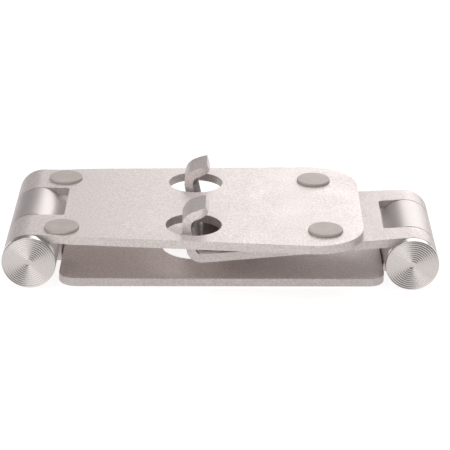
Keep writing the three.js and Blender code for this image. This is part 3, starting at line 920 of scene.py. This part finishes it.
def cap_profile(front, back):
    """Spun face of fine V rings round a small cone, a rounded rim, a polished side and a spigot."""
    ring_to = RADIUS - CAP_ROUND - RING_MARGIN
    count = round((ring_to - RING_FROM) / RING_PITCH)
    pitch = (ring_to - RING_FROM) / count
    depth = pitch / 2 * math.tan(RING_SLOPE)
    profile = [(0, front + depth + RING_FROM * math.tan(RING_SLOPE) * DIMPLE)]
    for k in range(count):
        valley = RING_FROM + pitch * k
        profile += [(valley, front + depth), (valley + pitch / 2, front)]
    profile.append((ring_to, front + depth))
    for k in range(1, 9):
        turn = math.pi / 2 * k / 8
        profile.append((RADIUS - CAP_ROUND * (1 - math.sin(turn)), front + CAP_ROUND * (1 - math.cos(turn))))
    profile += [(RADIUS, back - CAP_BREAK), (RADIUS - CAP_BREAK, back), (SPIGOT_RADIUS, back)]
    profile += [(SPIGOT_RADIUS, back + SPIGOT_LENGTH), (0, back + SPIGOT_LENGTH)]
    return profile


def make_caps():
    for side, x, body in (("left", LEFT_X, "base"), ("right", RIGHT_X, "cradle")):
        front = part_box(side + "_cap")[0].y / MM
        back = front + CAP_DEPTH
        cap = lathe(side + "_cap_finished", cap_profile(front, back), on_axis(x), CAP_STEPS)
        smooth(cap, 40)
        finish_piece(cap, "spun_aluminium", body, side + "_cap")


def make_plugs():
    """Flush rear plugs with a shallow turned dish and a chamfered edge."""
    ends = (("left", LEFT_X, LEFT_HALF, "base"), ("right", RIGHT_X, RIGHT_HALF, "cradle"))
    for side, x, back, body in ends:
        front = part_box(side + "_rear_plug")[0].y / MM
        profile = [(0, front), (PLUG_RADIUS, front), (PLUG_RADIUS, back - PLUG_CHAMFER)]
        profile += [(PLUG_RADIUS - PLUG_CHAMFER, back), (PLUG_RADIUS - PLUG_RIM, back)]
        profile += [(PLUG_RADIUS - PLUG_RIM - 0.4, back - PLUG_DISH * 3 / 4), (0, back - PLUG_DISH)]
        plug = lathe(side + "_rear_plug_finished", profile, on_axis(x), 96)
        smooth(plug, 40)
        finish_piece(plug, "blasted_aluminium", body, side + "_rear_plug")


# ---------------------------------------------------------------- hidden hardware keeps its CAD shape


def dress_cad_nodes():
    slots = {row["node"]: row["material_slot"] for row in frame["record"]["subparts"]}
    for name, node in frame["nodes"].items():
        if node.hide_render:
            continue
        node.data.materials.clear()
        node.data.materials.append(FINISH[slots[name]])


# ---------------------------------------------------------------- stage, camera and light

# The camera's place is in millimetres; its pitch, yaw and roll are in radians.
CAMERA_AT = Vector((-4.73, -513.23, 226.44))
CAMERA_PITCH = math.radians(22.93)
CAMERA_YAW = math.radians(0.61)
CAMERA_ROLL = math.radians(2.14)
CAMERA_LENS = 154.4

FLOOR = 6.0                      # metres, half a side
FLOOR_Z = -0.0002                # just under the arm plate
STUDIO = 0.26                    # brightness of the room around the light panels


def make_camera():
    data = bpy.data.cameras.new("camera")
    data.lens = CAMERA_LENS
    data.sensor_width = 36
    data.clip_start = 0.01
    data.clip_end = 20
    camera = bpy.data.objects.new("camera", data)
    forward = Vector((
        math.sin(CAMERA_YAW) * math.cos(CAMERA_PITCH),
        math.cos(CAMERA_YAW) * math.cos(CAMERA_PITCH),
        -math.sin(CAMERA_PITCH),
    ))
    level = Vector((math.cos(CAMERA_YAW), -math.sin(CAMERA_YAW), 0))
    above = level.cross(forward)
    right = math.cos(CAMERA_ROLL) * level + math.sin(CAMERA_ROLL) * above
    up = math.cos(CAMERA_ROLL) * above - math.sin(CAMERA_ROLL) * level
    turn = Matrix((right, up, -forward)).transposed().to_4x4()
    camera.matrix_world = Matrix.Translation(CAMERA_AT * MM) @ turn
    bpy.context.scene.collection.objects.link(camera)
    bpy.context.scene.camera = camera


def make_floor():
    corners = [(-FLOOR, -FLOOR), (FLOOR, -FLOOR), (FLOOR, FLOOR), (-FLOOR, FLOOR)]
    bm = bmesh.new()
    bm.faces.new([bm.verts.new((x, y, FLOOR_Z)) for x, y in corners])
    floor = new_object("floor", bm)
    floor.data.materials.append(light_table())


def soft_light(name, at, towards, width, height, power):
    """A rectangular light panel; places and sizes in metres, power in watts."""
    data = bpy.data.lights.new(name, "AREA")
    data.shape = "RECTANGLE"
    data.size = width
    data.size_y = height
    data.energy = power
    light = bpy.data.objects.new(name, data)
    light.location = at
    aim = Vector(towards) - Vector(at)
    light.rotation_euler = aim.to_track_quat("-Z", "Y").to_euler()
    bpy.context.scene.collection.objects.link(light)


def studio_surround():
    """The dim room around the light panels, with faint unevenness like draped cloth."""
    world = bpy.data.worlds.new("studio")
    world.use_nodes = True
    tree = world.node_tree
    shader = tree.nodes["Background"]
    cloth = tree.nodes.new("ShaderNodeTexNoise")
    cloth.inputs["Scale"].default_value = 2.0
    tone = tree.nodes.new("ShaderNodeValToRGB")
    tone.color_ramp.elements[0].color = (0.90, 0.885, 0.88, 1)
    tone.color_ramp.elements[1].color = (1.0, 0.985, 0.98, 1)
    tree.links.new(tree.nodes.new("ShaderNodeTexCoord").outputs["Generated"], cloth.inputs["Vector"])
    tree.links.new(cloth.outputs["Fac"], tone.inputs["Fac"])
    tree.links.new(tone.outputs["Color"], shader.inputs["Color"])
    shader.inputs["Strength"].default_value = STUDIO
    bpy.context.scene.world = world


def make_lights():
    studio_surround()
    middle = (0, 0, 0.01)
    soft_light("key", (-0.57, -0.95, 0.5), (-0.05, 0, 0.05), 1.2, 0.9, 4.4)
    soft_light("back", (0.35, 0.85, 0.45), middle, 0.9, 0.7, 4.3)
    soft_light("top", (0.0, 0.0, 1.0), middle, 1.0, 0.8, 4.4)
    bpy.context.scene.view_settings.view_transform = "Standard"


# ---------------------------------------------------------------- assembly

make_base_plate()
make_foot_pads()
make_arm_plate()
make_knuckle("left", LEFT_X, 1, ARM_LEFT - LEFT_X - GAP)
make_knuckle("right", RIGHT_X, -1, RIGHT_X - ARM_RIGHT - GAP)
make_screws()
make_cradle_plate()
make_cradle_pad()
make_hook_linings()
make_caps()
make_plugs()
dress_cad_nodes()
make_floor()
make_camera()
make_lights()
